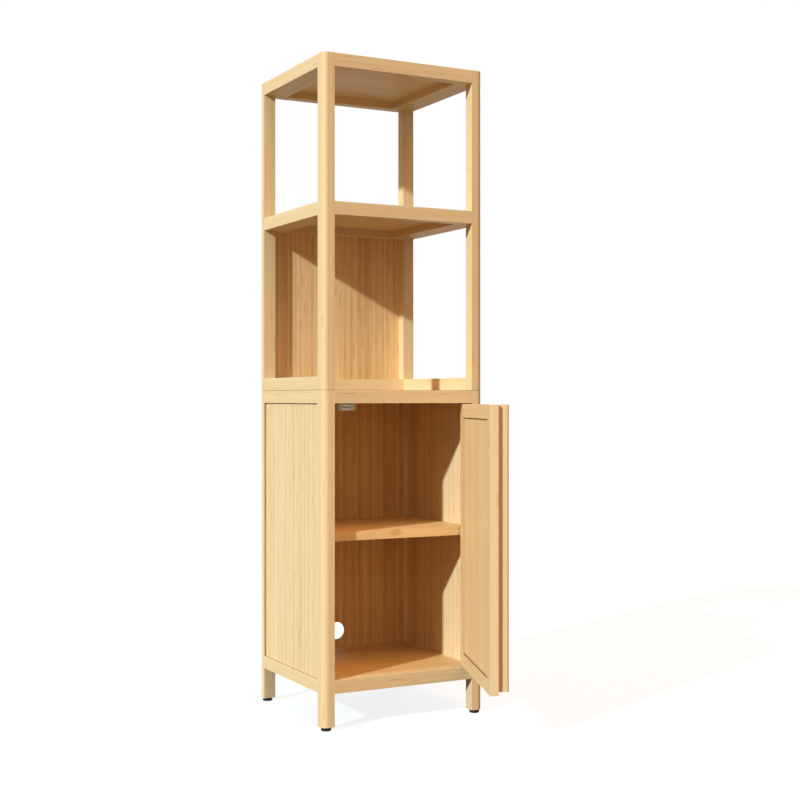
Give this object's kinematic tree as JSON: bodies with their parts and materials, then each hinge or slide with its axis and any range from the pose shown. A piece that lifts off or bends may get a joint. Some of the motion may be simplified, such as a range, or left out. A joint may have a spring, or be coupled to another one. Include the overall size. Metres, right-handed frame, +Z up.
{
  "type": "tall bathroom cabinet",
  "caption": "Tall narrow bamboo bathroom cabinet: a cupboard with a framed side-hinged door and full-height pull strip, under an open rack with a half-height back.",
  "frame": {"origin": "on the floor, in the middle of the rectangle that the four posts stand on", "axes": "+Z up, +X to the right as seen from the front, +Y from the front to the back; the door is on the -Y side and is open at rest"},
  "size_m": [0.4, 0.6652, 1.464],
  "materials": {
    "bamboo_frame": "satin clear lacquer over laminated bamboo, edge grain",
    "bamboo_board": "satin clear lacquer over narrow bamboo strips glued side by side",
    "dowel_wood": "plain turned wood",
    "foot_black": "matt black",
    "steel": "zinc plated",
    "magnet": "plain dark metal",
    "catch_grey": "grey"
  },
  "bodies": {
    "cabinet": {"base_rail_back": "bamboo_frame", "base_rail_front": "bamboo_frame", "base_rail_left": "bamboo_frame", "base_rail_right": "bamboo_frame", "catch_body": "catch_grey", "catch_magnet": "magnet", "catch_screws": "steel", "cupboard_back": "bamboo_board", "cupboard_floor": "bamboo_board", "cupboard_floor_battens": "bamboo_frame", "cupboard_rail_back": "bamboo_frame", "cupboard_rail_front": "bamboo_frame", "cupboard_rail_left": "bamboo_frame", "cupboard_rail_right": "bamboo_frame", "cupboard_side_left": "bamboo_board", "cupboard_side_right": "bamboo_board", "cupboard_top": "bamboo_board", "cupboard_top_battens": "bamboo_frame", "dowels": "dowel_wood", "foot_sleeves": "steel", "hinge_bushes": "steel", "inner_shelf": "bamboo_board", "lower_post_back_left": "bamboo_frame", "lower_post_back_right": "bamboo_frame", "lower_post_front_left": "bamboo_frame", "lower_post_front_right": "bamboo_frame", "middle_rail_back": "bamboo_frame", "middle_rail_front": "bamboo_frame", "middle_rail_left": "bamboo_frame", "middle_rail_right": "bamboo_frame", "middle_shelf": "bamboo_board", "middle_shelf_battens": "bamboo_frame", "rack_back": "bamboo_board", "rack_rail_back": "bamboo_frame", "rack_rail_left": "bamboo_frame", "rack_rail_right": "bamboo_frame", "rack_top": "bamboo_board", "rack_top_battens": "bamboo_frame", "shelf_pins": "steel", "top_rail_back": "bamboo_frame", "top_rail_front": "bamboo_frame", "top_rail_left": "bamboo_frame", "top_rail_right": "bamboo_frame", "upper_post_back_left": "bamboo_frame", "upper_post_back_right": "bamboo_frame", "upper_post_front_left": "bamboo_frame", "upper_post_front_right": "bamboo_frame", "wood_screws": "steel"},
    "door": {"door_board": "bamboo_board", "door_pull": "bamboo_frame", "door_rail_bottom": "bamboo_frame", "door_rail_top": "bamboo_frame", "door_stile_free": "bamboo_frame", "door_stile_hinge": "bamboo_frame", "hinge_pins": "steel", "catch_strike": "steel"},
    "foot_back_left": {"foot_back_left": "foot_black"},
    "foot_back_right": {"foot_back_right": "foot_black"},
    "foot_front_left": {"foot_front_left": "foot_black"},
    "foot_front_right": {"foot_front_right": "foot_black"}
  },
  "joints": [
    {"name": "door_hinge", "type": "hinge", "parent": "cabinet", "child": "door", "pos_m": [0.159, -0.172, 0.4085], "axis": [0, 0, 1], "range_deg": [-70, 30]},
    {"name": "level_back_left", "type": "slide", "parent": "cabinet", "child": "foot_back_left", "axis": [0, 0, -1], "range_m": [0, 0.008]},
    {"name": "level_back_right", "type": "slide", "parent": "cabinet", "child": "foot_back_right", "axis": [0, 0, -1], "range_m": [0, 0.008]},
    {"name": "level_front_left", "type": "slide", "parent": "cabinet", "child": "foot_front_left", "axis": [0, 0, -1], "range_m": [0, 0.008]},
    {"name": "level_front_right", "type": "slide", "parent": "cabinet", "child": "foot_front_right", "axis": [0, 0, -1], "range_m": [0, 0.008]}
  ]
}
